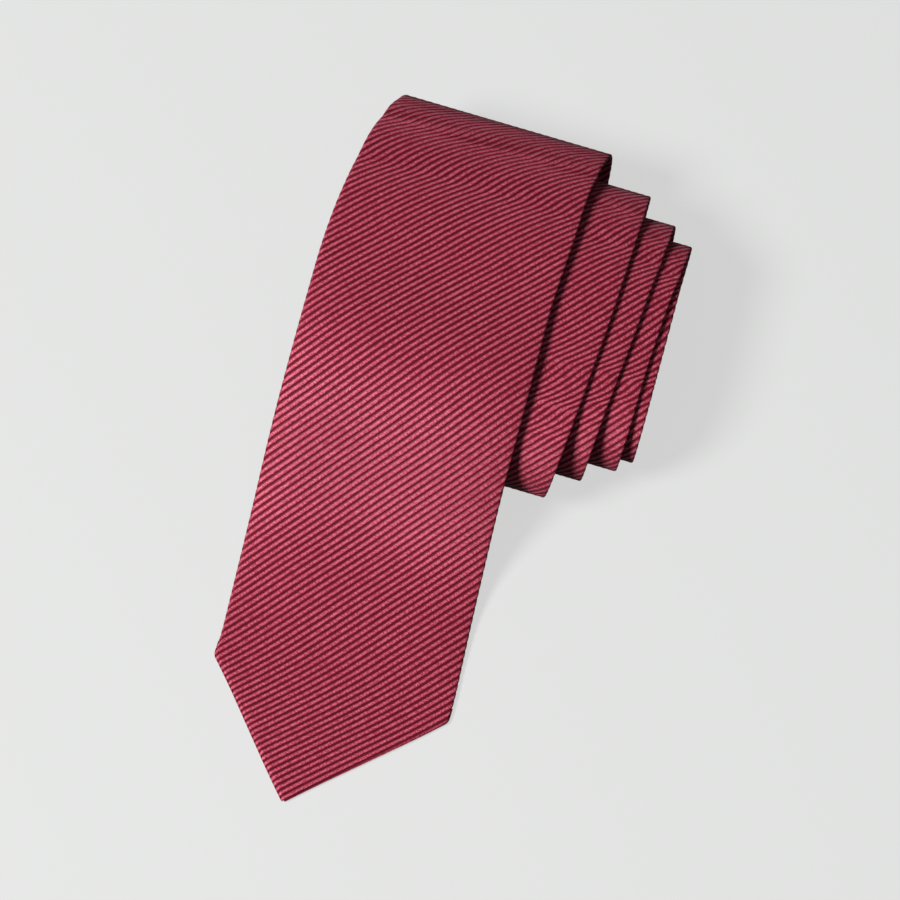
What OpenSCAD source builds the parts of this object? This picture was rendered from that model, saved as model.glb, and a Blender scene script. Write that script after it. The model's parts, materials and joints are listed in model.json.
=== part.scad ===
// A slim silk-rib necktie, wound up from its tail with the front blade left free.
// X runs across the tie, +Y towards the far fold of the roll, +Z up from the surface it lies on.

/* [Front blade] */
// Width of the front blade at its two corners
blade_w = 60; // [50:1:80]
// Height of the point, from the corners to the apex
point_h = 34; // [26:1:40]
// Sideways set of the apex from the middle of the blade
point_skew = 4.2; // [0:0.1:6]

/* [Neck and tail] */
// Width of the neck, the narrowest part
neck_w = 34; // [28:1:40]
// Width of the tail blade at its corners
tail_w = 40; // [34:1:50]

/* [Layers] */
// Thickness of the outer cloth
cloth_t = 0.25; // [0.2:0.01:0.3]
// Thickness of the interlining
pad_t = 0.44; // [0.3:0.01:0.5]
// Thickness of the lining behind each point
lining_t = 0.09; // [0.06:0.01:0.1]
// Air left between two layers
gap = 0.04; // [0.02:0.01:0.05]

/* [Roll] */
// Half the height of the outermost turn
roll_half_h = 17; // [16:0.5:20]
// Step between neighbouring turns
turn_pitch = 1.62; // [1.6:0.02:1.8]
// Half the length of the core
core_half_l = 21; // [18:1:26]
// Half the height of the core
core_half_h = 2; // [1:0.5:3]

/* [Keeper loop] */
// Length of the keeper loop across the blade
keeper_l = 38; // [30:1:44]
// Width of the keeper loop along the blade
keeper_w = 10; // [8:1:14]

/* [Hidden] */
// Each length along the tie is measured from the apex of the front blade.
neck_start = 650;
tail_start = 950;
bar_tack_at = 94;
keeper_at = 120;
flap_margin = 8;
tail_point_h = 21;
flap_overlap = 3;
point_air = 0.1;
lining_end = 100;
lining_stitch_end = 78;
thread_t = 0.2;
foot_w = 3;
slot_h = 0.3;
seam_gap = 0.25;
joint_gap = 0.1;

// Levels through the folded tie, measured from its middle, with the face side positive
tie_t = 3*cloth_t + pad_t + lining_t + 4*gap;
face_hi = tie_t/2;
face_lo = face_hi - cloth_t;
pad_hi = face_lo - gap;
pad_lo = pad_hi - pad_t;
lining_hi = pad_lo - gap;
lining_lo = lining_hi - lining_t;
inner_hi = lining_lo - gap;
inner_lo = inner_hi - cloth_t;
outer_hi = inner_lo - gap;
outer_lo = -face_hi;

// The roll: an oval that shrinks with each turn, a rounded core plus a band of even width
crest_ease = 1;
crest_ease_turns = 0.35;
oval_h = 7;
oval_l = 24;
oval_turns = 4.2;
core_air = 1;
function fade(turn) = pow(max(0, 1 - turn/oval_turns), 2);
function core_l(turn) = core_half_l + oval_l*fade(turn);
function core_h(turn) = core_half_h + oval_h*fade(turn);
function half_h(turn) = roll_half_h - turn_pitch*turn + crest_ease*exp(-turn/crest_ease_turns);
function oval_support(turn, a) = norm([core_l(turn)*cos(a), core_h(turn)*sin(a)]);
function band(turn) = half_h(turn) - core_h(turn);
function oval_y(turn, a) = (pow(core_l(turn), 2)/oval_support(turn, a) + band(turn))*cos(a);
function oval_z(turn, a) = (pow(core_h(turn), 2)/oval_support(turn, a) + band(turn))*sin(a);

turns = (roll_half_h - core_half_h - core_air)/turn_pitch;
// The first turn has a flat base between the two sections either side of straight down.
base_angle = -84;
// Facing angles of the sections of one turn, from the crest over the far fold and back
turn_angles = [84, 76, 62, 44, 22, 0, -22, -44, -62, -76, base_angle,
               -180 - base_angle, -104, -118, -136, -158, -180, -202, -224, -242, -256, -264];
roll_z = face_hi - oval_z((90 - base_angle)/360, base_angle);
crest_z = roll_z + half_h(0);
function roll_section(turn, a) = abs(a + 90) <= 90 + base_angle + 1
    ? [oval_y(turn, a), face_hi, -90]
    : [oval_y(turn, a), roll_z + oval_z(turn, a), a];

// The free blade: flat on the surface, then a soft slope up to the crest of the roll
apex_y = -144;
flat_end_y = -96;
slope_mid_y = -54;
slope_l = 8.5;
function slope_part(y) = 1/(1 + exp((slope_mid_y - y)/slope_l));
slope_0 = slope_part(flat_end_y);
slope_1 = slope_part(0);
function blade_z(y) = y <= flat_end_y ? face_hi
    : face_hi + (crest_z - face_hi)*(slope_part(y) - slope_0)/(slope_1 - slope_0);
function blade_tilt(y) = atan(blade_z(y + 0.5) - blade_z(y - 0.5));

// Sections along the tie's middle line, each [y, z, facing angle]
blade_sections = concat(
    [for (y = [apex_y, apex_y + point_h]) [y, face_hi, 90]],
    [for (y = [flat_end_y:4:-4]) [y, blade_z(y), y <= flat_end_y ? 90 : 90 + blade_tilt(y)]],
    [[0, crest_z, 90]]
);
roll_sections = [for (k = [0:ceil(turns)]) for (a = turn_angles)
    let (angle = a - 360*k, turn = (90 - angle)/360)
    if (turn <= turns) roll_section(turn, angle)];
sections = concat(blade_sections, roll_sections);

last = len(sections) - 1;
function step_l(i) = i >= last ? 0
    : norm([sections[i + 1][0] - sections[i][0], sections[i + 1][1] - sections[i][1]]);
lengths = [for (i = 0, s = 0; i <= last; s = s + step_l(i), i = i + 1) s];
tie_l = lengths[last];
function along(s, k) = lookup(s, [for (i = [0:last]) [lengths[i], sections[i][k]]]);
function section_at(s) = [s, along(s, 0), along(s, 1), along(s, 2)];

// The folds change at these lengths, so each gets a section of its own.
tail_corner_at = tie_l - tail_point_h;
tail_tack_at = tie_l - 3*tail_point_h;
flap_full_at = bar_tack_at - 2;
marks = [flap_full_at, tail_tack_at, tail_corner_at];
least_step = 0.4;
function between(s, s0, s1) = s > s0 + least_step && s < s1 - least_step;
path = [for (i = [0:last]) each concat(
    [concat([lengths[i]], sections[i])],
    [for (m = marks) if (i < last && between(m, lengths[i], lengths[i + 1])) section_at(m)]
)];
function run(s0, s1) = concat(
    [section_at(s0)],
    [for (p = path) if (between(p[0], s0, s1)) p],
    [section_at(s1)]
);

lift_at = lengths[len(blade_sections) - 1];
tip_joint_y = -97;
tip_joint_at = lookup(tip_joint_y, [for (i = [0:len(blade_sections) - 1]) [sections[i][0], lengths[i]]]);

// Width of the tie and sideways place of its middle, by length along it
tip_min_w = 1.2;
corner_x = -3.3;
function width(s) = lookup(s, [
    [0, tip_min_w], [point_h, blade_w], [165, blade_w], [210, blade_w - 5], [430, blade_w - 13],
    [650, neck_w + 4], [850, neck_w], [1150, neck_w + 1], [tail_corner_at, tail_w], [tie_l, tip_min_w]
]);
function middle(s) = lookup(s, [
    [0, corner_x - point_skew], [point_h, corner_x], [95, -6.5], [150, -7.7], [185, -5.3], [210, 0],
    [270, 4.7], [322, 8.8], [376, 13.3], [430, 16.2], [532, 20.7], [580, 25.5], [629, 30],
    [722, 31.5], [765, 35.5], [820, 36], [1150, 34], [tie_l, 33]
]);

// Length of a folded-over flap: a margin round each point, and past the middle elsewhere
function flap(s) = min(
    lookup(s, [
        [point_h, flap_margin], [flap_full_at, blade_w/2 + flap_overlap],
        [tail_tack_at, blade_w/2 + flap_overlap], [tail_corner_at, flap_margin]]),
    width(s)/2 + (s < point_h || s > tail_corner_at ? -point_air : flap_overlap)
);

// Places the points [across, level] of one section
function place(p, pts) = [for (q = pts) [middle(p[0]) + q[0], p[1] + q[1]*cos(p[3]), p[2] + q[1]*sin(p[3])]];

// Joins equal sections into one closed solid; caps lists the convex pieces of the end faces
module loft(rings, caps) {
    n = len(rings[0]);
    m = len(rings);
    sides = [for (i = [0:m - 2]) for (j = [0:n - 1])
        let (a = i*n + j, b = i*n + (j + 1)%n, c = b + n, d = a + n)
        each [[a, c, b], [a, d, c]]];
    start = caps;
    end = [for (f = caps) [for (k = [len(f) - 1:-1:0]) f[k] + (m - 1)*n]];
    polyhedron([for (r = rings) each r], concat(sides, start, end));
}

// A flat strip between two distances across and two levels, both given along the tie
module strip(s0, s1, span, low, high) {
    loft([for (p = run(s0, s1)) let (u = span(p[0]))
        place(p, [[u[0], low], [u[0], high], [u[1], high], [u[1], low]])], [[0, 1, 2, 3]]);
}

// The outer cloth: the face, its two turned edges and the two flaps behind
module shell(s0, s1) {
    loft([for (p = run(s0, s1)) let (
            h = width(p[0])/2,
            u = h - cloth_t,
            l = -h + flap(p[0]),
            r = h - flap(p[0]))
        place(p, [[l, outer_lo], [-h, outer_lo], [-h, face_hi], [h, face_hi], [h, inner_lo], [r, inner_lo],
                  [r, inner_hi], [u, inner_hi], [u, face_lo], [-u, face_lo], [-u, outer_hi], [l, outer_hi]])],
        [[0, 1, 10, 11], [1, 2, 9, 10], [2, 3, 8, 9], [3, 4, 7, 8], [4, 5, 6, 7]]);
}

// The layers inside stop a little short of the turned edges.
edge_ease = 0.4;
function inside(s) = let (h = max(width(s)/2 - cloth_t - edge_ease, 0.1)) [-h, h];
module interlining(s0, s1) strip(s0, s1, function(s) inside(s), pad_lo, pad_hi);
module lining(s0, s1) strip(s0, s1, function(s) inside(s), lining_lo, lining_hi);

// The long thread that closes the back, beside the edge of the outer flap
module slip_stitch(s0, s1) {
    strip(s0, s1, function(s) let (e = flap(s) - width(s)/2 + gap) [e, e + thread_t], outer_lo, outer_hi);
}

// The two threads that hold a lining to the margins of the flaps
module lining_stitch(s0, s1) {
    for (side = [-1, 1])
        strip(s0, s1, function(s) let (e = side*(width(s)/2 - flap(s) - gap - thread_t/2))
            [e - thread_t/2, e + thread_t/2], inner_lo, inner_hi);
}

// A short bar of thread across the closing seam
tack_l = 6;
tack_w = 1.5;
tack_t = 0.3;
module bar_tack(s) {
    strip(s, s + tack_w, function(s) [flap_overlap - tack_l/2, flap_overlap + tack_l/2],
        outer_lo - gap - tack_t, outer_lo - gap);
}

// A line of stitching in the joint between two panels
module panel_seam(s) {
    strip(s - thread_t/2, s + thread_t/2, function(s) inside(s), face_lo, face_hi - gap);
}

silk = "#a03050";
silk_dark = "#7c203c";
wool = "#e8e2d4";
satin = "#5c1830";
thread = "#c05070";

module tip_shell() color(silk) shell(0, tip_joint_at - joint_gap);
module blade_shell() color(silk) shell(tip_joint_at + joint_gap, lift_at - joint_gap);
module rolled_blade_shell() color(silk) shell(lift_at + joint_gap, neck_start - seam_gap);
module neck_shell() color(silk_dark) shell(neck_start + seam_gap, tail_start - seam_gap);
module tail_shell() color(silk) shell(tail_start + seam_gap, tie_l);

pad_inset = 2;
module tip_interlining() color(wool) interlining(pad_inset, tip_joint_at - joint_gap);
module blade_interlining() color(wool) interlining(tip_joint_at + joint_gap, lift_at - joint_gap);
module rolled_interlining() color(wool) interlining(lift_at + joint_gap, tie_l - pad_inset);

module tip_lining() color(satin) lining(pad_inset, tip_joint_at - joint_gap);
module blade_lining() color(satin) lining(tip_joint_at + joint_gap, lining_end);
module tail_lining() color(satin) lining(tie_l - lining_end/2, tie_l - pad_inset);

module tip_lining_stitch() color(thread) lining_stitch(2*flap_margin, tip_joint_at - joint_gap);
module blade_lining_stitch() color(thread) lining_stitch(tip_joint_at + joint_gap, lining_stitch_end);
module tail_lining_stitch() color(thread) lining_stitch(tail_corner_at - 2*flap_margin, tail_corner_at);

module blade_slip_stitch() color(thread) slip_stitch(bar_tack_at, lift_at - joint_gap);
module rolled_slip_stitch() color(thread) slip_stitch(lift_at + joint_gap, tail_tack_at - 2*tack_w);
module front_bar_tack() color(thread) bar_tack(bar_tack_at);
module tail_bar_tack() color(thread) bar_tack(tail_tack_at - tack_w);
module front_neck_seam() color(thread) panel_seam(neck_start);
module neck_tail_seam() color(thread) panel_seam(tail_start);

// The band behind the blade that holds the tail: two sewn feet and a raised strap
module keeper_loop() {
    foot_hi = outer_lo - gap;
    strap_hi = foot_hi - slot_h;
    strap_lo = strap_hi - cloth_t;
    e = keeper_l/2;
    f = e - foot_w;
    color(silk_dark)
        loft([for (p = run(keeper_at, keeper_at + keeper_w)) place(p, [
            [-e, strap_lo], [-e, foot_hi], [-f, foot_hi], [-f, strap_hi],
            [f, strap_hi], [f, foot_hi], [e, foot_hi], [e, strap_lo]])],
            [[0, 1, 2, 3], [0, 3, 4, 7], [4, 5, 6, 7]]);
}

module keeper_tacks() {
    low = outer_lo - 2*gap - slot_h - cloth_t - thread_t;
    color(thread)
        for (side = [-1, 1])
            strip(keeper_at + 1, keeper_at + keeper_w - 1,
                function(s) [side*(keeper_l - foot_w)/2 - thread_t, side*(keeper_l - foot_w)/2 + thread_t],
                low, low + thread_t);
}

// The row's origin is under the middle of the whole tie.
edges = [for (p = path) for (side = [-1, 1]) middle(p[0]) + side*width(p[0])/2];
far_fold_y = oval_y(0.25, 0) + face_hi;
origin_x = (min(edges) + max(edges))/2;
origin_y = (apex_y + far_fold_y)/2;
module set_down() translate([-origin_x, -origin_y, 0]) children();

set_down() tip_shell();
set_down() blade_shell();
set_down() rolled_blade_shell();
set_down() neck_shell();
set_down() tail_shell();
set_down() tip_interlining();
set_down() blade_interlining();
set_down() rolled_interlining();
set_down() tip_lining();
set_down() blade_lining();
set_down() tail_lining();
set_down() tip_lining_stitch();
set_down() blade_lining_stitch();
set_down() tail_lining_stitch();
set_down() blade_slip_stitch();
set_down() rolled_slip_stitch();
set_down() front_bar_tack();
set_down() tail_bar_tack();
set_down() front_neck_seam();
set_down() neck_tail_seam();
set_down() keeper_loop();
set_down() keeper_tacks();
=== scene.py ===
import json
import math

import bpy
import numpy as np
from mathutils import Matrix, Vector


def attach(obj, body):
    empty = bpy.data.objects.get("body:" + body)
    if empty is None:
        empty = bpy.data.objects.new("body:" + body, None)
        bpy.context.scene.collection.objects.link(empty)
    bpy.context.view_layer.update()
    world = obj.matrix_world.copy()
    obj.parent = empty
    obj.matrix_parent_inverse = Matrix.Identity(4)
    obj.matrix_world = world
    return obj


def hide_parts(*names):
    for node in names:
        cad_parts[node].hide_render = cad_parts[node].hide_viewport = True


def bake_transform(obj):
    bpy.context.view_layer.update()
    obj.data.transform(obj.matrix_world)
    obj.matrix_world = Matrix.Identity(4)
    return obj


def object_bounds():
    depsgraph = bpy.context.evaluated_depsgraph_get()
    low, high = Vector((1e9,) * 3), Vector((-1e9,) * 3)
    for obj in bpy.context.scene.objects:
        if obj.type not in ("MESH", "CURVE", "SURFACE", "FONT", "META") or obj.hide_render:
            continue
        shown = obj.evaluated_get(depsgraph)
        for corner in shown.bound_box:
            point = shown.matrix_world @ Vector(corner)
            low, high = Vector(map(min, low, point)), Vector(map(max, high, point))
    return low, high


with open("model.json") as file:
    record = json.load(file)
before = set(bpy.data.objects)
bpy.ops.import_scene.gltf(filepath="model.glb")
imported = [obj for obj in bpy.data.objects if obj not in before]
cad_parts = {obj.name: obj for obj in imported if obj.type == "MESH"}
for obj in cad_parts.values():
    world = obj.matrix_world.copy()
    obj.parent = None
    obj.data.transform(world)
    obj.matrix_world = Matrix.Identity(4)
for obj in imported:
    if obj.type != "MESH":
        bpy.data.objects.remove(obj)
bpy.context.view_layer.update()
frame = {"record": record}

# The outer cloth. Three panels of wine-red corded silk, cut on the bias, are folded round the
# interlining: the right edge turns in first, the left edge laps over it, and both edges roll
# rather than crease. The blade lies flat, climbs to the crest and is wound on into a flat oval.

# Sizes are in millimetres. Lengths along the tie start at the apex of the front blade, a y at
# the middle of the crest and a z at the floor.
SILK_THICK = 0.12
FACE, INNER_BACK, OUTER_BACK = 0.72, -0.43, -0.72  # level of each layer's outside
LEFT_EDGE, RIGHT_EDGE = (0.0, 0.72), (0.145, 0.575)  # middle level and radius of each rolled edge
CREST_X, CREST_Y = -7.8268, 46.0795  # where the middle of the crest lies on the row's axes
CREST_Z, OVAL_Z = 34.188, 16.188
APEX_Y, SLOPE_FOOT_Y, SLOPE_MIDDLE_Y, SLOPE_SOFTNESS = -144, -96, -54, 8.5
LAYER_PITCH, ROLL_HALF, CORE_HALF, FIRST_AIR, AIR_TURNS = 1.62, 17, 2, 1, 0.35
CORE_LONG, CORE_HIGH, OVAL_LONG, OVAL_HIGH, OVAL_TURNS = 21, 2, 24, 7, 4.2
FLAT_BASE_ANGLE = 7
FOLD_ANGLES = [84, 76, 62, 44, 22, 0, -22, -44, -62, -76, -84,
               -96, -104, -118, -136, -158, -180, -202, -224, -242, -256, -264]


def slope_part(y):
    return 1 / (1 + np.exp((SLOPE_MIDDLE_Y - y) / SLOPE_SOFTNESS))


def blade_height(y):
    low, high = slope_part(float(SLOPE_FOOT_Y)), slope_part(0.0)
    climb = FACE + (CREST_Z - FACE) * (slope_part(y) - low) / (high - low)
    return np.where(y <= SLOPE_FOOT_Y, FACE, climb)


def roll_place(angle):
    """Place and facing of the roll at a winding angle, 90 at the crest and falling."""
    turn = (90 - angle) / 360
    shrink = np.maximum(0, 1 - turn / OVAL_TURNS) ** 2
    long, high = CORE_LONG + OVAL_LONG * shrink, CORE_HIGH + OVAL_HIGH * shrink
    half = ROLL_HALF - LAYER_PITCH * turn + FIRST_AIR * np.exp(-turn / AIR_TURNS)
    c, s = np.cos(np.radians(angle)), np.sin(np.radians(angle))
    support = np.hypot(long * c, high * s)
    y = (long ** 2 / support + half - high) * c
    z = OVAL_Z + (high ** 2 / support + half - high) * s
    base = np.abs(angle + 90) <= FLAT_BASE_ANGLE
    return y, np.where(base, FACE, z), np.where(base, -90, angle)


def tie_line():
    """The tie's length, place and facing angle, sampled finely between its folds."""
    ys = np.concatenate([[APEX_Y, -110], np.arange(SLOPE_FOOT_Y, -3, 4), [0]]).astype(float)
    turns = (ROLL_HALF - CORE_HALF - FIRST_AIR) / LAYER_PITCH
    wound = [a - 360 * k for k in range(9) for a in FOLD_ANGLES]
    angles = np.array([90.0] + [a for a in wound if (90 - a) / 360 <= turns])
    y, z, a = roll_place(angles[1:])
    knots = np.concatenate([np.stack([ys, blade_height(ys)], 1), np.stack([y, z], 1)])
    knot_s = np.concatenate([[0], np.cumsum(np.linalg.norm(np.diff(knots, axis=0), axis=1))])
    fine_y = np.linspace(APEX_Y, 0, 721)
    fine_a = np.linspace(90, angles[-1], 9000)
    y, z, a = roll_place(fine_a)
    rise = np.degrees(np.arctan(np.gradient(blade_height(fine_y), fine_y)))
    s = np.concatenate([np.interp(fine_y, ys, knot_s[:len(ys)]),
                        np.interp(-fine_a[1:], -angles, knot_s[len(ys) - 1:])])
    return (s, np.concatenate([fine_y, y[1:]]), np.concatenate([blade_height(fine_y), z[1:]]),
            np.concatenate([90 + rise, a[1:]]))


LINE = tie_line()
TIE_L = float(LINE[0][-1])
FLAP, HEM = 33, 8
WIDTHS = np.array([[0, 60], [165, 60], [210, 55], [430, 47], [650, 38], [850, 34], [1150, 35],
                   [TIE_L - 21, 40], [TIE_L, 1.2]]).T
MIDDLES = np.array([[0, -7.5], [34, -3.3], [95, -6.5], [150, -7.7], [185, -5.3], [210, 0], [270, 4.7],
                    [322, 8.8], [376, 13.3], [430, 16.2], [532, 20.7], [580, 25.5], [629, 30],
                    [722, 31.5], [765, 35.5], [820, 36], [1150, 34], [TIE_L, 33]]).T


def eased(table, s, reach):
    """A table's value by length, averaged over a stretch so that the edges run in soft curves."""
    return np.mean([np.interp(s + d, *table) for d in np.linspace(-reach, reach, 9)], axis=0)


def half_width(s):
    return eased(WIDTHS, s, 8) / 2


def middle(s):
    return eased(MIDDLES, s, 9)


def flap(s):
    """Width of the cloth turned to the back: a hem at each point, a full flap between them."""
    turned = np.interp(s, [34, 92, TIE_L - 63, TIE_L - 21], [HEM, FLAP, FLAP, HEM])
    return np.minimum(turned, half_width(s) + 3)


def in_place(lateral, s, level):
    """Points in the row frame, in metres, from a place on the tie."""
    y, z, angle = (np.interp(s, LINE[0], LINE[k]) for k in (1, 2, 3))
    angle = np.radians(angle)
    return np.stack([lateral + middle(s) + CREST_X, y + level * np.cos(angle) + CREST_Y,
                     z + level * np.sin(angle)], 1) / 1000


class Field:
    """A socket in a material. Arithmetic on it adds Math nodes."""

    def __init__(self, tree, socket=None):
        self.tree, self.socket = tree, socket

    def node(self, kind, settings, inputs, output=0):
        """Any other node: its type, its settings, and the values or links of its sockets."""
        made = self.tree.nodes.new(kind)
        for key, value in settings.items():
            setattr(made, key, value)
        for key, value in inputs.items():
            if isinstance(value, Field):
                self.tree.links.new(value.socket, made.inputs[key])
            else:
                made.inputs[key].default_value = value
        return Field(self.tree, made.outputs[output])

    def math(self, operation, *values):
        return self.node("ShaderNodeMath", {"operation": operation}, dict(enumerate(values)))

    def __add__(self, other): return self.math("ADD", self, other)
    def __radd__(self, other): return self.math("ADD", other, self)
    def __sub__(self, other): return self.math("SUBTRACT", self, other)
    def __rsub__(self, other): return self.math("SUBTRACT", other, self)
    def __mul__(self, other): return self.math("MULTIPLY", self, other)
    def __rmul__(self, other): return self.math("MULTIPLY", other, self)
    def __truediv__(self, other): return self.math("DIVIDE", self, other)
    def __rtruediv__(self, other): return self.math("DIVIDE", other, self)
    def __pow__(self, other): return self.math("POWER", self, other)
    def __rpow__(self, other): return self.math("POWER", other, self)

    def wave(self, pitch):
        """A run of round ridges, 0 in each furrow and 1 on each crest."""
        return self.math("ABSOLUTE", self.math("SINE", self * (math.pi / pitch)))

    def between(self, low, high, easing="LINEAR"):
        """0 up to one value and 1 from another."""
        return self.node("ShaderNodeMapRange", {"interpolation_type": easing},
                         {"Value": self, "From Min": low, "From Max": high})

    def mix(self, first, second):
        """One colour where this is 0, the other where it is 1."""
        factor, first_colour, second_colour, colour = 0, 6, 7, 2
        return self.node("ShaderNodeMix", {"data_type": "RGBA"},
                         {factor: self, first_colour: first, second_colour: second}, colour)


def mottle(x, y, scale, detail):
    """Soft noise over two lengths of the flat cloth."""
    place = x.node("ShaderNodeCombineXYZ", {}, {0: x, 1: y})
    return x.node("ShaderNodeTexNoise", {}, {"Vector": place, "Scale": scale, "Detail": detail})


def new_finish(name, roughness, sheen, sheen_tint):
    """A material with its shader's constants set, and the flat cloth's two lengths."""
    material = bpy.data.materials.new(name)
    material.use_nodes = True
    shader = material.node_tree.nodes["Principled BSDF"]
    shader.inputs["Roughness"].default_value = roughness
    shader.inputs["Sheen Weight"].default_value = sheen
    shader.inputs["Sheen Roughness"].default_value = 0.4
    shader.inputs["Specular Tint"].default_value = sheen_tint
    shader.inputs["Sheen Tint"].default_value = sheen_tint
    flat = Field(material.node_tree).node("ShaderNodeUVMap", {"uv_map": "flat"}, {})
    across, along = (flat.node("ShaderNodeSeparateXYZ", {}, {0: flat}, k) for k in (0, 1))
    return material, across, along


def finished(material, colour, height, strength, depth, rough=None):
    """The material with what varies over the cloth led to its shader."""
    tree = material.node_tree
    shader = tree.nodes["Principled BSDF"]
    relief = {"Height": height, "Strength": strength, "Distance": depth}
    bump = height.node("ShaderNodeBump", {}, relief)
    tree.links.new(colour.socket, shader.inputs["Base Color"])
    tree.links.new(bump.socket, shader.inputs["Normal"])
    if rough is not None:
        tree.links.new(rough.socket, shader.inputs["Roughness"])
    return material


RIB_PITCH, RIB_DEPTH, RIB_TURN, RIB_ROUND = 1.53, 0.15, math.radians(49.7), 0.6
WEFT_PITCH = 0.62
# The silk's own wine red is the ground. The darkest colour is painted shade for the rib furrows, the crest
# colour is a painted highlight and the palest one is for painted glints.
PAINTED_FURROW_SHADE, GROUND = (0.070, 0.0008, 0.006, 1), (0.250, 0.012, 0.034, 1)
PAINTED_CREST_HIGHLIGHT, PAINTED_GLINT = (0.560, 0.115, 0.170, 1), (0.80, 0.36, 0.42, 1.0)


def corded_silk():
    """Round ribs on the bias, crossed by fine weft threads. Their colour holds painted shade in the furrows,
    a painted highlight on the crests and bright painted glints.
    """
    material, across, along = new_finish("silk_rib", 0.40, 0.15, (1.0, 0.42, 0.52, 1.0))
    over = (along * math.cos(RIB_TURN) - across * math.sin(RIB_TURN)) / RIB_PITCH
    down = across * math.cos(RIB_TURN) + along * math.sin(RIB_TURN)
    shake = mottle(over * 2.0, down * 2.0, 1.0, 3.0) - 0.5
    uneven = mottle(over * 0.12, down * 0.05, 1.0, 2.0)
    rib = (over + shake * 0.34).wave(1)
    weft = (down + over * 0.5).wave(WEFT_PITCH)
    broken = mottle(over * 2.4, down * 2.0, 1.0, 2.0).between(0.42, 0.56)
    glint_spots = mottle(over * 1.3, down * 1.9, 1.3, 1.0).between(0.64, 0.74)
    highlight_mask = rib.between(0.60, 1.0, "SMOOTHSTEP")
    # Painted shade: the furrows between the ribs are darkened in the colour.
    colour = rib.between(0.26, 0.90, "SMOOTHSTEP").mix(PAINTED_FURROW_SHADE, GROUND)
    # Painted highlight: the rib crests are lightened towards a pale pink, broken up by the weft and by
    # noise.
    colour = (highlight_mask * (0.05 + 0.30 * weft + 0.80 * broken)).mix(colour, PAINTED_CREST_HIGHLIGHT)
    # Painted glints: bright pink specks on the rib crests, where the cloth is also made a little glossier.
    colour = (glint_spots * highlight_mask * 0.45).mix(colour, PAINTED_GLINT)
    colour = (uneven * 0.25).mix(colour, GROUND)
    height = rib ** RIB_ROUND * 0.7 + weft * rib * 0.15 + broken * rib * 0.15
    rough = 0.44 + (1 - rib) * 0.25 - glint_spots * 0.12
    return finished(material, colour, height, 0.6, 0.00025, rough)


SILK = corded_silk()
RIB_ROWS, ROLLED_RIB_ROWS = np.array([0, 0.12, 0.32, 0.68, 0.88]), np.array([0, 0.2, 0.5, 0.8])
COLUMNS, BEND_COLUMNS = (10, 6, 26, 6, 10), (30, 6, 52, 6, 30)  # left flap, edge, face, edge, right flap
UNIFORM_AT = 36  # past here the tie has no point, and its sides run on evenly


def points_of(piece):
    co = np.zeros(len(piece.data.vertices) * 3)
    piece.data.vertices.foreach_get("co", co)
    return co.reshape(-1, 3)


def set_points(piece, co):
    piece.data.vertices.foreach_set("co", np.ascontiguousarray(co, dtype=np.float32).ravel())
    piece.data.update()


def cloth_map(piece, across, along):
    """The piece's own map: millimetres across and along the flat cloth."""
    layer = piece.data.uv_layers.get("flat") or piece.data.uv_layers.new(name="flat")
    corner = np.zeros(len(piece.data.loops), np.int32)
    piece.data.loops.foreach_get("vertex_index", corner)
    layer.data.foreach_set("uv", np.stack([across[corner], along[corner]], 1).astype(np.float32).ravel())


def only(piece):
    bpy.ops.object.select_all(action="DESELECT")
    piece.select_set(True)
    bpy.context.view_layer.objects.active = piece


def apply_all(piece):
    only(piece)
    for name in [m.name for m in piece.modifiers]:
        bpy.ops.object.modifier_apply(modifier=name)


def thicken(piece, thickness):
    made = piece.modifiers.new("thickness", "SOLIDIFY")
    made.thickness, made.offset = thickness / 1000, -1
    apply_all(piece)
    bpy.ops.object.shade_smooth_by_angle(angle=math.radians(50))


def cut(piece, at, away, clear=True):
    """Cuts flat cloth along a line, and takes off what lies on the far side."""
    only(piece)
    bpy.ops.object.mode_set(mode="EDIT")
    bpy.ops.mesh.select_all(action="SELECT")
    bpy.ops.mesh.bisect(plane_co=at, plane_no=away, clear_outer=clear, threshold=1e-5)
    bpy.ops.object.mode_set(mode="OBJECT")


def flat_grid(name, columns, rows):
    """A flat sheet of cloth, with each point's share of the way across and along it."""
    bpy.ops.mesh.primitive_grid_add(x_subdivisions=columns, y_subdivisions=rows, size=1)
    piece = bpy.context.object
    piece.name = name
    share = points_of(piece)[:, :2] + 0.5
    return piece, share[:, 0], share[:, 1]


def folded(column, s, counts=COLUMNS):
    """Across place on the flat cloth, sideways place, level and outward direction at a column."""
    h, f = half_width(s), flap(s)
    (lc, lr), (rc, rr) = LEFT_EDGE, RIGHT_EDGE
    edge = np.cumsum((0,) + counts)
    t = [np.clip((column - edge[k]) / counts[k], 0, 1) for k in range(5)]
    zone = np.clip(np.searchsorted(edge, column, side="right") - 1, 0, 4)
    left, right = -(h - lr), h - rr
    turn_l, turn_r = np.pi * t[1], np.pi * t[3]
    flap_l, flap_r = np.maximum(f - lr, 0.1) * (1 - t[0]), np.maximum(f - rr, 0.1) * t[4]
    face = left + (right - left) * t[2]
    zero, one = np.zeros_like(s), np.ones_like(s)
    flat = [left - np.pi * lr - flap_l, left - lr * (np.pi - turn_l), face,
            right + rr * turn_r, right + np.pi * rr + flap_r]
    side = [left + flap_l, left - lr * np.sin(turn_l), face, right + rr * np.sin(turn_r), right - flap_r]
    level = [zero + OUTER_BACK, lc - lr * np.cos(turn_l), zero + FACE, rc + rr * np.cos(turn_r),
             zero + INNER_BACK]
    out_x = [zero, -np.sin(turn_l), zero, np.sin(turn_r), zero]
    out_z = [-one, -np.cos(turn_l), one, np.cos(turn_r), -one]
    return [np.choose(zone, rows) for rows in (flat, side, level, out_x, out_z)]


def rib_drop(across, along):
    """How far the cloth lies below the crests of its ribs."""
    over = (along * math.cos(RIB_TURN) - across * math.sin(RIB_TURN)) / RIB_PITCH
    return RIB_DEPTH * (1 - np.abs(np.sin(np.pi * over)) ** RIB_ROUND)


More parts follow.
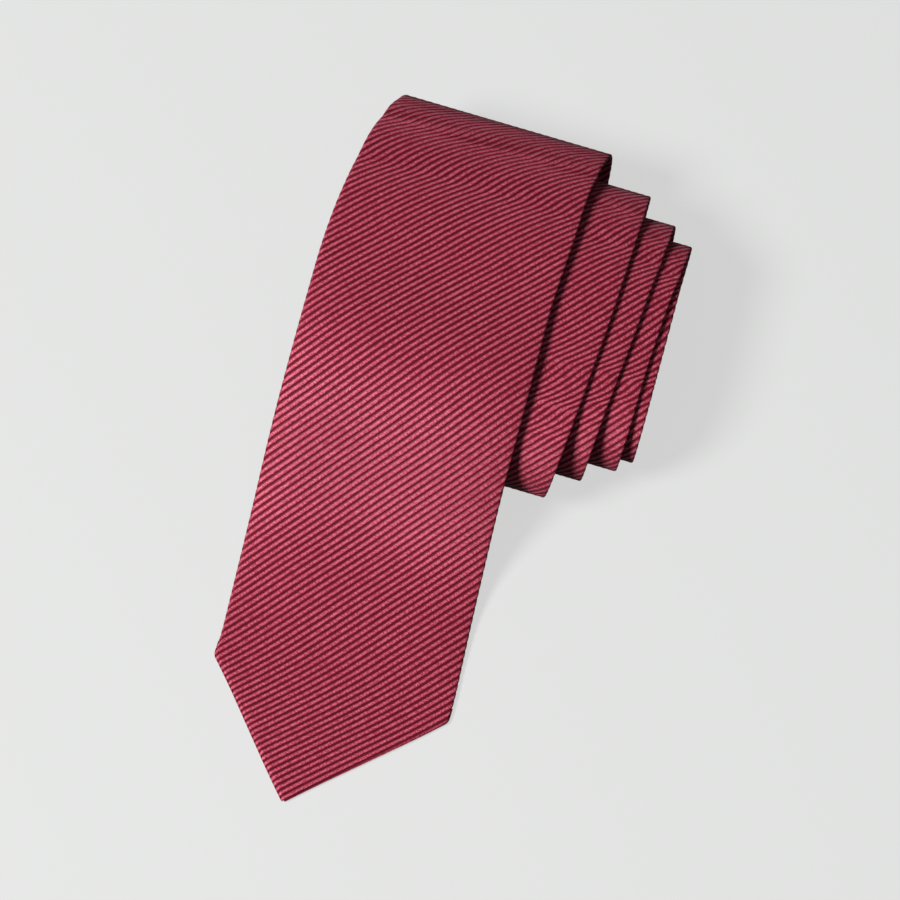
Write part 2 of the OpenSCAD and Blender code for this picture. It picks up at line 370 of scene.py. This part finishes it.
def ribbed_grid(name, s0, s1, rows=RIB_ROWS, counts=COLUMNS):
    """Flat cloth with its points along the ribs, as column and length, cut square at both ends."""
    reach = 72 * math.sin(RIB_TURN)
    first = math.floor((s0 * math.cos(RIB_TURN) - reach) / RIB_PITCH)
    last = math.ceil((s1 * math.cos(RIB_TURN) + reach) / RIB_PITCH)
    rib = (np.arange(first, last)[:, None] + rows[None, :]).ravel()
    piece, share_across, share_along = flat_grid(name, sum(counts), len(rib) - 1)
    column = np.rint(share_across * sum(counts))
    over = rib[np.rint(share_along * (len(rib) - 1)).astype(int)] * RIB_PITCH
    s = over / math.cos(RIB_TURN)
    for _ in range(14):
        across = folded(column, np.clip(s, UNIFORM_AT, TIE_L), counts)[0]
        s = (over + across * math.sin(RIB_TURN)) / math.cos(RIB_TURN)
    set_points(piece, np.stack([column, s, np.zeros_like(s)], 1))
    cut(piece, (0, s0, 0), (0, -1, 0))
    cut(piece, (0, s1, 0), (0, 1, 0))
    return piece


def lean(s, lateral):
    """The soft hang of the cloth: it is fuller down its middle, and dips a little on the slope."""
    fullness, dip_depth, dip_at, dip_reach = 1.5, 0.65, 92, 24
    free = np.clip((s - UNIFORM_AT) / 30, 0, 1) * np.clip((150 - s) / 30, 0, 1)
    free = free * free * (3 - 2 * free)
    crown = fullness * (1 - np.minimum(np.abs(lateral) / 30, 1) ** 4)
    dip = dip_depth * np.exp(-((s - dip_at) / dip_reach) ** 2) * np.sin(lateral / 11 + s / 17)
    return free * (crown + dip)


def fold_cloth(piece, counts):
    co = points_of(piece)
    across, side, level, out_x, out_z = folded(co[:, 0], co[:, 1], counts)
    drop = rib_drop(across, co[:, 1])
    set_points(piece, in_place(side - out_x * drop, co[:, 1], level - out_z * drop + lean(co[:, 1], side)))
    cloth_map(piece, across, co[:, 1])
    thicken(piece, SILK_THICK)
    return piece


def set_cloth(piece, finish_used):
    piece.data.materials.clear()
    piece.data.materials.append(finish_used)


JOINT_Y = {joint["name"]: joint["pos_m"][1] for joint in frame["record"]["behaviour"]["joints"]}


def across_joint(piece, body):
    """The piece rides on its body; a piece that spans two bodies is left where it is, with its place baked
    into its points.
    """
    if body == "tip to blade":
        at = JOINT_Y["tip_lift"]
        at - 0.007
        at + 0.007
        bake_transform(piece)
    elif body == "blade to roll":
        at = JOINT_Y["blade_lift"]
        at - 0.022
        at + 0.004
        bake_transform(piece)
    else:
        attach(piece, body)


TIP_END, SLOPE_END, CREST_END, SECOND_TURN_END = 38.0, 104.0, 186.0, 418.0
NECK_AT, TAIL_AT, SEAM_GAP = 650.0, 950.0, 0.25
for name, s0, s1, body, nodes, pad in (
        ("blade_cloth", TIP_END, SLOPE_END, "tip to blade", ["tip_shell", "blade_shell"], "blade_pad"),
        ("crest_cloth", SLOPE_END, CREST_END, "blade to roll", ["blade_shell", "rolled_blade_shell"],
         "crest_pad"),
        ("rolled_cloth", CREST_END, SECOND_TURN_END, "roll", ["rolled_blade_shell"], "rolled_pad"),
        ("rolled_cloth_inner", SECOND_TURN_END, NECK_AT - SEAM_GAP, "roll", ["rolled_blade_shell"],
         "rolled_pad"),
        ("neck_cloth", NECK_AT + SEAM_GAP, TAIL_AT - SEAM_GAP, "roll", ["neck_shell"], "rolled_pad"),
        ("tail_cloth", TAIL_AT + SEAM_GAP, TIE_L, "roll", ["tail_shell"], "rolled_pad")):
    counts = COLUMNS if body == "roll" else BEND_COLUMNS
    rows = RIB_ROWS if s0 < NECK_AT else ROLLED_RIB_ROWS
    piece = fold_cloth(ribbed_grid(name, s0, s1, rows, counts), counts)
    set_cloth(piece, SILK)
    across_joint(piece, body)
    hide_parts(*nodes)
    s = np.linspace(s0, s1, 60)
    wide = 2 * (half_width(s) + flap(s))
    (s1 - s0) / 1000
    float(wide.mean()) * (s1 - s0) / 1e6


# The point of the front blade, the end of the same panel of silk. It is cut to a blunt arrow
# with softly rounded corners, and its edges roll over the interlining on every side. The
# margin outside the arrow is the hem: turned to the back, pressed flat and mitred at the apex.
CORNER, POINT_H, CORNER_R, APEX_R = 30.0, 34.0, 2.6, 0.9


def point_sides():
    """The lines round the point, left to right: outward direction, distance, bend's centre and radius."""
    slant = math.degrees(math.atan2(CORNER, POINT_H))
    left_v, right_v = 180 + slant, 360 - slant
    distance = {180: CORNER, 360: CORNER}
    bends = (180, left_v, CORNER_R, 4), (left_v, right_v, APEX_R, 6), (right_v, 360, CORNER_R, 4)
    found = []
    for a, b, radius, steps in bends:
        towards = [np.array([math.cos(math.radians(d)), math.sin(math.radians(d))]) for d in (a, b)]
        inset = np.array([distance.get(d, 0.0) - radius for d in (a, b)])
        bend = np.linalg.solve(np.array(towards), inset)
        for k in range(steps + 1):
            d = math.radians(a + (b - a) * k / steps)
            n = np.array([math.cos(d), math.sin(d)])
            found.append((n, float(n @ bend) + radius, bend, radius))
    return found


def edge_of(n):
    """Middle level and radius of the rolled edge that faces one way."""
    return LEFT_EDGE if n[0] < 0 else RIGHT_EDGE


SIDES = point_sides()
STRAIGHTS = [SIDES[k] for k in (0, 4, 5, 11, 12, 16)]
tip = ribbed_grid("tip_cloth", -4, TIP_END)
co = points_of(tip)
flat_across = folded(co[:, 0], np.full(len(co), 40.0))[0]
set_points(tip, np.stack([flat_across, co[:, 1], co[:, 2]], 1))
for n, reach, bend, radius in SIDES:
    grown = reach + (math.pi / 2 - 1) * edge_of(n)[1]
    cut(tip, tuple(n * grown) + (0,), tuple(n) + (0,))
for n, reach, bend, radius in STRAIGHTS:
    for inset in (1.0, 0.62, 0.28, -0.1):
        cut(tip, tuple(n * (reach - edge_of(n)[1] * inset)) + (0,), tuple(n) + (0,), clear=False)
flat_place = points_of(tip)[:, :2].copy()
inward = np.stack([reach - flat_place @ n for n, reach, bend, radius in SIDES])
nearest, depth = inward.argmin(0), inward.min(0)
n = np.stack([side[0] for side in SIDES])[nearest]
edge_level, edge_r = (np.array([edge_of(side[0])[k] for side in SIDES])[nearest] for k in (0, 1))
past = np.clip((edge_r - depth) / edge_r, 0, math.pi / 2)
rolled = depth < edge_r
moved = np.where(rolled, depth - edge_r * (1 - np.sin(past)), 0)
drop = rib_drop(flat_place[:, 0], flat_place[:, 1])
placed = flat_place + n * moved[:, None]
placed -= n * np.where(rolled, np.sin(past), 0)[:, None] * drop[:, None]
level = np.where(rolled, edge_level + edge_r * np.cos(past), FACE)
set_points(tip, in_place(placed[:, 0], placed[:, 1], level - np.where(rolled, np.cos(past), 1) * drop))
cloth_map(tip, flat_place[:, 0], flat_place[:, 1])
thicken(tip, SILK_THICK)
set_cloth(tip, SILK)
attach(tip, "tip")
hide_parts("tip_shell")


def turn_over(piece):
    only(piece)
    bpy.ops.object.mode_set(mode="EDIT")
    bpy.ops.mesh.select_all(action="SELECT")
    bpy.ops.mesh.flip_normals()
    bpy.ops.object.mode_set(mode="OBJECT")


def hem(name, side):
    """One half of the turned margin, from the straight edge round the corner to the apex."""
    lines = [line for line in SIDES if side * line[0][0] > 1e-6][::-side]
    edge_level, radius = edge_of(lines[0][0])
    first, corner = lines[0][0], lines[0][2]
    outline = [(np.array([side * CORNER, TIP_END + (corner[1] - TIP_END) * k / 3]), first) for k in range(3)]
    outline += [(bend + n * r, n) for n, reach, bend, r in lines]
    corner_end = 8
    (start, facing), (end, _) = outline[corner_end - 1:corner_end + 1]
    slant = [(start + (end - start) * k / 12, facing) for k in range(1, 12)]
    outline[corner_end:corner_end] = slant
    inset = []
    for p, n in outline:
        margin = float(flap(np.array([p[1]]))[0])
        t = p - n * margin
        t[0] = side * min(max(side * t[0], 0.15), CORNER - margin)
        inset.append(t)
    turn_columns, columns = 6, 12
    piece, share_across, share_along = flat_grid(name, columns, len(outline) - 1)
    column = np.rint(share_across * columns)
    row = np.rint(share_along * (len(outline) - 1)).astype(int)
    p, n = (np.array([o[k] for o in outline])[row] for k in (0, 1))
    angle = math.pi / 2 + math.pi / 2 * np.clip(column / turn_columns, 0, 1)
    rolled = p - n * radius * (1 - np.sin(angle))[:, None]
    share = np.clip((column - turn_columns) / (columns - turn_columns), 0, 1)[:, None]
    flat = rolled + (np.array(inset)[row] - rolled) * share
    set_points(piece, in_place(flat[:, 0], flat[:, 1], edge_level + radius * np.cos(angle)))
    unfolded = p + n * (radius * (angle - 1) + np.linalg.norm(flat - rolled, axis=1))[:, None]
    cloth_map(piece, unfolded[:, 0], unfolded[:, 1])
    if side < 0:
        turn_over(piece)
    thicken(piece, SILK_THICK)
    set_cloth(piece, SILK)
    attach(piece, "tip")
    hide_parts("tip_shell")
    return piece


hems = [hem("tip_hem_left", -1), hem("tip_hem_right", 1)]


# The interlining. One long strip of brushed wool lies inside the folded silk, a little short
# of its turned edges, and gives the tie its body.
def brushed_wool():
    material, across, along = new_finish("interlining", 0.9, 0.4, (1, 1, 1, 1))
    hair = mottle(across, along * 0.4, 2.2, 6.0)
    thread = across.wave(0.8)
    colour = hair.mix((0.62, 0.56, 0.45, 1), (0.86, 0.82, 0.74, 1))
    return finished(material, colour, hair * 0.6 + thread * 0.4, 0.5, 0.0003)


SHY = 0.95  # how far a layer stops inside the tie's edge


def layer(name, s0, s1, levels, finish_used, slot_used, body, nodes, lies_on):
    """A flat layer inside the tie, between two levels."""
    piece, share_across, share_along = flat_grid(name, 24, max(4, int((s1 - s0) / 1.5)))
    s = s0 + share_along * (s1 - s0)
    point = np.interp(s, [0, POINT_H, POINT_H + 0.01], [0.6, CORNER, 1000])
    half = np.maximum(np.minimum(half_width(s), point) - SHY, 0.1)
    side = (share_across - 0.5) * 2 * half
    high, low = levels
    set_points(piece, in_place(side, s, high + lean(s, side)))
    cloth_map(piece, side, s)
    thicken(piece, high - low)
    set_cloth(piece, finish_used)
    across_joint(piece, body)
    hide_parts(*nodes)
    (s1 - s0) / 1000
    float(half.mean()) * 2 * (s1 - s0) / 1e6


WOOL, WOOL_LEVELS, POINT_SHY = brushed_wool(), (0.36, 0.16), 2
for name, s0, s1, body, nodes, lies_on in (
        ("tip_pad", POINT_SHY, TIP_END, "tip", ["tip_interlining"], ["tip_cloth", "tip_satin"]),
        ("blade_pad", TIP_END, SLOPE_END, "tip to blade", ["tip_interlining", "blade_interlining"],
         ["blade_cloth", "blade_satin"]),
        ("crest_pad", SLOPE_END, CREST_END, "blade to roll", ["blade_interlining", "rolled_interlining"],
         ["crest_cloth"]),
        ("rolled_pad", CREST_END, TIE_L - POINT_SHY, "roll", ["rolled_interlining"],
         ["rolled_cloth", "rolled_cloth_inner", "neck_cloth", "tail_cloth"])):
    layer(name, s0, s1, WOOL_LEVELS, WOOL, "interlining", body, nodes, lies_on)


# The linings. A thin wine satin is laid behind each point, under the turned margins, and hides
# the raw edges and the wool.
def wine_satin():
    material, across, along = new_finish("satin_lining", 0.28, 0.1, (1, 0.7, 0.75, 1))
    float_run = mottle(across * 3.0, along * 0.35, 2.0, 3.0)
    twill = along.math("SINE", (along + across * 0.5) * (math.pi / 0.22))
    colour = float_run.mix((0.070, 0.008, 0.020, 1), (0.150, 0.018, 0.042, 1))
    height = float_run * 0.5 + twill * 0.2
    return finished(material, colour, height, 0.25, 0.0001, 0.24 + float_run * 0.2)


SATIN, SATIN_LEVELS = wine_satin(), (0.03, -0.06)
for name, s0, s1, body, nodes, lies_on in (
        ("tip_satin", POINT_SHY, TIP_END, "tip", ["tip_lining"], ["tip_hem_left", "tip_hem_right"]),
        ("blade_satin", TIP_END, 100, "tip to blade", ["tip_lining", "blade_lining"], ["blade_cloth"]),
        ("tail_satin", TIE_L - 50, TIE_L - POINT_SHY, "roll", ["tail_lining"], ["tail_cloth"])):
    layer(name, s0, s1, SATIN_LEVELS, SATIN, "satin_lining", body, nodes, lies_on)


# The long slip stitch. One silk thread closes the back from the front bar tack to the tail's,
# and catches the edge of the flap that laps over, in stitches 5 mm apart.
def silk_thread():
    material, across, along = new_finish("thread", 0.5, 0.3, (1, 0.7, 0.75, 1))
    twist = (along + across).wave(0.25)
    colour = twist.mix((0.16, 0.012, 0.028, 1), (0.42, 0.06, 0.10, 1))
    return finished(material, colour, twist, 0.5, 0.0001)


THREAD = silk_thread()


def stitches(name, s0, count, pitch, size, side_at, level, body, nodes, across=False):
    """A row of short rounded stitches, laid out flat and then carried onto the tie."""
    bpy.ops.mesh.primitive_uv_sphere_add(segments=8, ring_count=6, radius=0.5)
    piece = bpy.context.object
    piece.name = name
    piece.scale = size
    only(piece)
    bpy.ops.object.transform_apply(location=False, rotation=False, scale=True)
    rows = piece.modifiers.new("row", "ARRAY")
    rows.count = count
    rows.use_relative_offset, rows.use_constant_offset = False, True
    rows.constant_offset_displace = (pitch, 0, 0) if across else (0, pitch, 0)
    apply_all(piece)
    co = points_of(piece)
    s = s0 + co[:, 1] + size[1] / 2
    centre = side_at(np.full_like(s, s0) if across else s)
    side = centre + co[:, 0] - (pitch * (count - 1) / 2 if across else 0)
    set_points(piece, in_place(side, s, level + co[:, 2] + lean(s, side)))
    cloth_map(piece, side, s)
    bpy.ops.object.shade_smooth()
    set_cloth(piece, THREAD)
    across_joint(piece, body)
    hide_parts(*nodes)


def lapped_edge(s):
    return flap(s) - half_width(s) + 0.14


SEAM_AT, SLIP_PITCH = 94, 5
for name, s0, s1, body, nodes in (
        ("slip_stitch_low", SEAM_AT, SLOPE_END - 2, "tip to blade", ["blade_slip_stitch"]),
        ("slip_stitch_crest", SLOPE_END, CREST_END - 2, "blade to roll",
         ["blade_slip_stitch", "rolled_slip_stitch"]),
        ("slip_stitch_long", CREST_END, TIE_L - 68, "roll", ["rolled_slip_stitch"])):
    stitches(name, s0, int((s1 - s0) / SLIP_PITCH), SLIP_PITCH, (0.2, 3.2, 0.24), lapped_edge, -0.575,
             body, nodes)


# The lining stitches. Short stitches of the same thread hold each lining to the turned margin
# on both sides, along the slants of the front point, the blade above it and the tail.
LINING_PITCH, LINING_STITCH, LINING_LEVEL = 2.5, (0.2, 1.3, 0.2), -0.30
for hand, side in (("left", -1), ("right", 1)):
    margin = lambda s, side=side: side * (half_width(s) - flap(s) - 0.14)
    slant = lambda s, side=side: side * (CORNER - HEM - 0.14 - np.maximum(POINT_H - s, 0) * CORNER / POINT_H)
    for name, s0, s1, edge, body, nodes in (
            ("tip_lining_stitch_", 16, TIP_END, slant, "tip", ["tip_lining_stitch"]),
            ("lining_stitch_", TIP_END, 78, margin, "tip to blade",
             ["tip_lining_stitch", "blade_lining_stitch"])):
        stitches(name + hand, s0, int((s1 - s0) / LINING_PITCH), LINING_PITCH, LINING_STITCH, edge,
                 LINING_LEVEL, body, nodes)
    stitches("tail_lining_stitch_" + hand, TIE_L - 37, 6, LINING_PITCH, LINING_STITCH, margin,
             LINING_LEVEL, "roll", ["tail_lining_stitch"])


# The bar tacks. Five lengths of the same silk thread, laid close across the closing seam and
# sewn down through the flaps, lock each of its ends.
for name, s0, body, node in (("front_bar_tack_threads", SEAM_AT, "blade", "front_bar_tack"),
                             ("tail_bar_tack_threads", TIE_L - 64.5, "roll", "tail_bar_tack")):
    stitches(name, s0, 5, 0.3, (6.0, 0.28, 0.28), lambda s: 3.0 + 0 * s, -0.90, body, [node])


# The panel seams. The front, neck and tail panels are joined by a row of thread across the
# tie, on the inside of the silk.
for name, s0, node in (("front_neck_seam_threads", NECK_AT, "front_neck_seam"),
                       ("neck_tail_seam_threads", TAIL_AT, "neck_tail_seam")):
    stitches(name, s0 - 0.1, 13, 2.5, (2.0, 0.2, 0.2), lambda s: 0 * s, 0.56, "roll", [node], across=True)


# The keeper loop. A band of the same silk crosses the back of the blade with its two ends
# turned under and stitched down, so that the tail can be tucked through it.
KEEPER_LONG, KEEPER_WIDE, KEEPER_AT, KEEPER_THICK = 38, 10, 125, 0.22
keeper, share_across, share_along = flat_grid("keeper_band", 60, 16)
side = (share_across - 0.5) * KEEPER_LONG
s = KEEPER_AT + (share_along - 0.5) * KEEPER_WIDE
foot = np.clip((np.abs(side) - 15.6) / 1.2, 0, 1)
level = -1.31 + 0.30 * foot ** 2 * (3 - 2 * foot)
edge = np.clip((np.abs(share_along - 0.5) - 0.44) / 0.06, 0, 1)
set_points(keeper, in_place(side, s, level + 0.10 * edge ** 2 + lean(s, side)))
cloth_map(keeper, s, side)
turn_over(keeper)
thicken(keeper, KEEPER_THICK)
set_cloth(keeper, SILK)
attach(keeper, "blade")
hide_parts("keeper_loop")
for hand, side in (("left", -1), ("right", 1)):
    stitches("keeper_tack_" + hand, 121, 5, 1.7, (0.3, 1.3, 0.2), lambda s, side=side: side * 17.5 + 0 * s,
             -1.36, "blade", ["keeper_tacks"])


# The floor. The tie is laid on a plain pale sheet of paper, much larger than itself, which
# glows a little so that it stays even and pale.
low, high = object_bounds()
centre = (low + high) / 2
bpy.ops.mesh.primitive_plane_add(size=4, location=(centre.x, centre.y, 0))
floor = bpy.context.object
floor.name = "floor"
paper = bpy.data.materials.new("paper")
paper.use_nodes = True
for socket, value in (("Base Color", (0.13, 0.132, 0.13, 1)), ("Emission Color", (0.99, 1.0, 0.99, 1)),
                      ("Emission Strength", 0.62), ("Roughness", 0.95), ("Specular IOR Level", 0.1)):
    paper.node_tree.nodes["Principled BSDF"].inputs[socket].default_value = value
floor.data.materials.append(paper)
floor.visible_diffuse = floor.visible_glossy = False


# The light and the camera. A soft lamp stands low beyond the point's left, a wide weak one
# hangs above, and the camera looks down the blade, turned so that the tie leans to the right.
def soft_light(name, place, size, power):
    lamp = bpy.data.lights.new(name, "AREA")
    lamp.shape, lamp.size, lamp.energy = "DISK", size, power
    light = bpy.data.objects.new(name, lamp)
    bpy.context.scene.collection.objects.link(light)
    light.location = centre + Vector(place)
    light.rotation_mode = "QUATERNION"
    light.rotation_quaternion = (-Vector(place)).to_track_quat("-Z", "Y")


soft_light("key", (-0.80, -0.72, 0.98), 0.45, 33.0)
soft_light("fill", (-0.1, -0.5, 1.5), 1.2, 2.0)
world = bpy.data.worlds.new("room")
world.use_nodes = True
world.node_tree.nodes["Background"].inputs["Color"].default_value = (1, 1, 1, 1)
world.node_tree.nodes["Background"].inputs["Strength"].default_value = 0.06
bpy.context.scene.world = world
bpy.context.scene.view_settings.view_transform = "Standard"

lens = bpy.data.cameras.new("camera")
lens.lens, lens.sensor_width = 230, 36
lens.clip_start, lens.clip_end = 0.1, 10
camera = bpy.data.objects.new("camera", lens)
bpy.context.scene.collection.objects.link(camera)
bpy.context.scene.camera = camera
above, roll_left, distance, aim_up = math.radians(59), math.radians(16.26), 1.4345, 0.0009
back = Vector((0, -math.cos(above), math.sin(above)))
up = Vector((0, math.sin(above), math.cos(above)))
look = (-back).to_track_quat("-Z", "Y").to_matrix().to_4x4()
camera.rotation_mode = "QUATERNION"
camera.rotation_quaternion = (Matrix.Rotation(roll_left, 4, back) @ look).to_quaternion()
camera.location = centre + back * distance + up * aim_up
